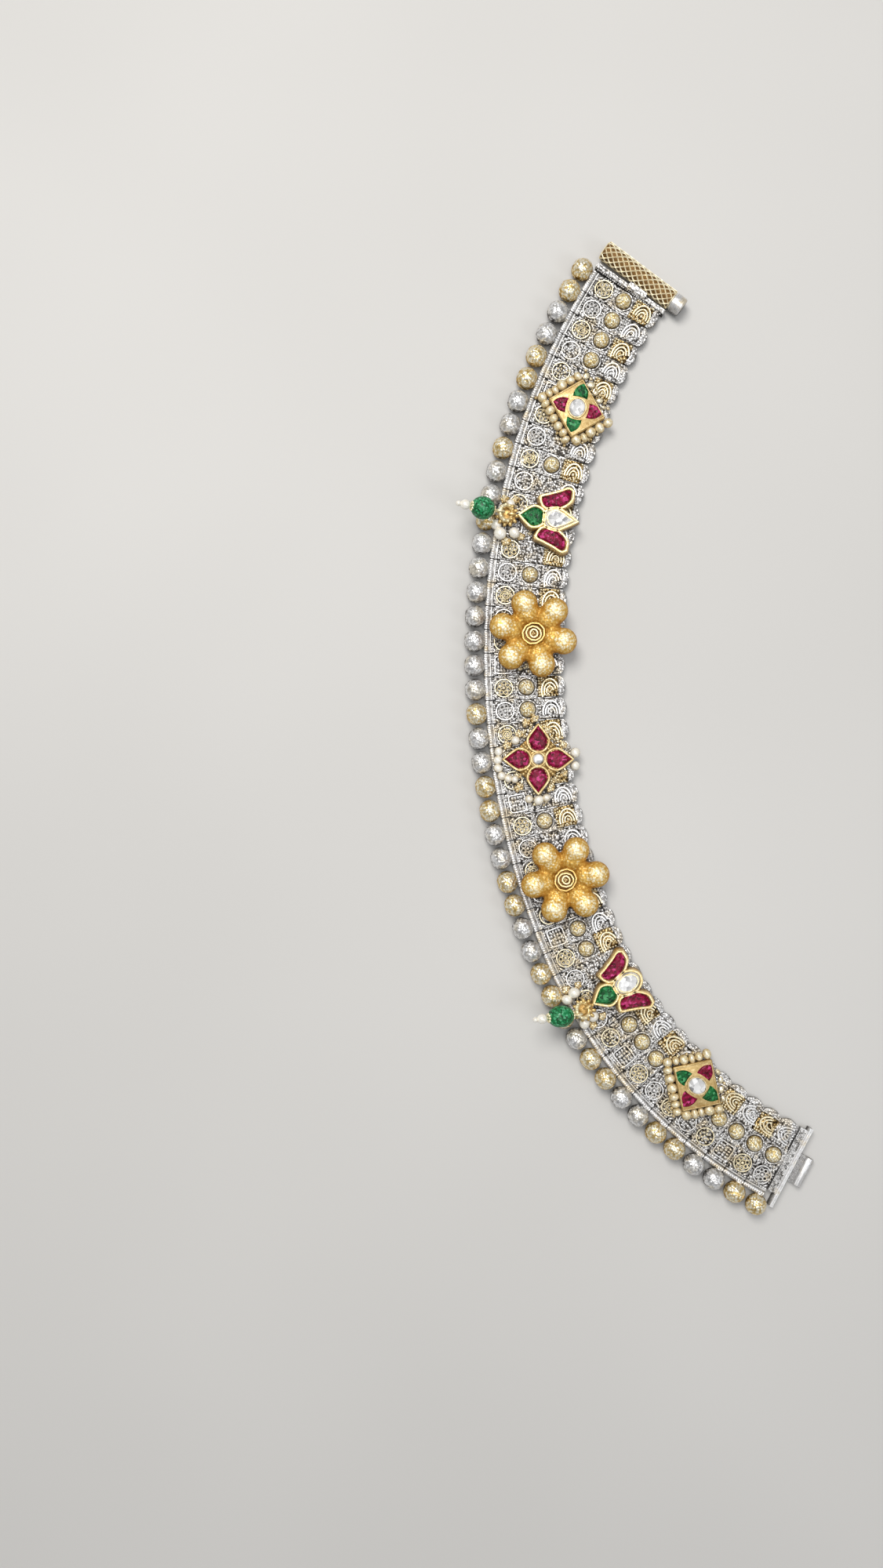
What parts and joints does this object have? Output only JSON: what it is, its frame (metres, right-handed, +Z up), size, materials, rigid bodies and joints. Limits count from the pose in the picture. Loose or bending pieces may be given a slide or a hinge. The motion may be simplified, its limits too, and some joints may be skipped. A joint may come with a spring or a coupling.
{
  "type": "payal anklet",
  "caption": "Silver and gold anklet of hinged links with a round bead edge, gem-set medallions and a screw-pin barrel clasp, unclasped and lying open in a curve.",
  "frame": {"origin": "centre of the bounding box seen from above, on the surface that the open anklet lies on", "axes": "+Z up out of the anklet's face, +Y along its length towards the clasp barrel, +X towards the inside of the bend"},
  "size_m": [0.094, 0.2532, 0.0117],
  "materials": {
    "silver": "bright silver, dark oxide in the recesses",
    "gold": "pale gold, satin",
    "satin_gold": "warm gold, matte",
    "ruby": "foiled ruby red, polished",
    "emerald": "foiled emerald green, polished",
    "white_stone": "foiled white stone, polished",
    "pearl": "cream pearl"
  },
  "bodies": {
    "anklet": {"link_band": "silver", "bead_edge": "silver", "square_top_setting": "gold", "square_top_ruby_1": "ruby", "square_top_emerald_1": "emerald", "square_top_ruby_2": "ruby", "square_top_emerald_2": "emerald", "square_top_white_stone": "white_stone", "lotus_top_setting": "gold", "lotus_top_emerald": "emerald", "lotus_top_white_stone": "white_stone", "lotus_top_ruby_1": "ruby", "lotus_top_ruby_2": "ruby", "lotus_top_drop_ring": "gold", "lotus_top_drop_pin": "gold", "lotus_top_drop_emerald": "emerald", "lotus_top_drop_pearl": "pearl", "flower_top": "satin_gold", "star_setting": "gold", "star_ruby_1": "ruby", "star_ruby_2": "ruby", "star_ruby_3": "ruby", "star_ruby_4": "ruby", "star_white_stone": "white_stone", "flower_bottom": "satin_gold", "lotus_bottom_setting": "gold", "lotus_bottom_emerald": "emerald", "lotus_bottom_white_stone": "white_stone", "lotus_bottom_ruby_1": "ruby", "lotus_bottom_ruby_2": "ruby", "lotus_bottom_drop_ring": "gold", "lotus_bottom_drop_pin": "gold", "lotus_bottom_drop_emerald": "emerald", "lotus_bottom_drop_pearl": "pearl", "square_bottom_setting": "gold", "square_bottom_ruby_1": "ruby", "square_bottom_emerald_1": "emerald", "square_bottom_ruby_2": "ruby", "square_bottom_emerald_2": "emerald", "square_bottom_white_stone": "white_stone", "clasp_end_plate": "silver", "clasp_barrel": "gold", "tongue_end_plate": "silver"},
    "clasp_pin": {"clasp_pin": "silver"}
  },
  "joints": [
    {"name": "clasp_pin_slide", "type": "slide", "parent": "anklet", "child": "clasp_pin", "axis": [0.7986, -0.6018, 0], "range_m": [0, 0.018]}
  ]
}
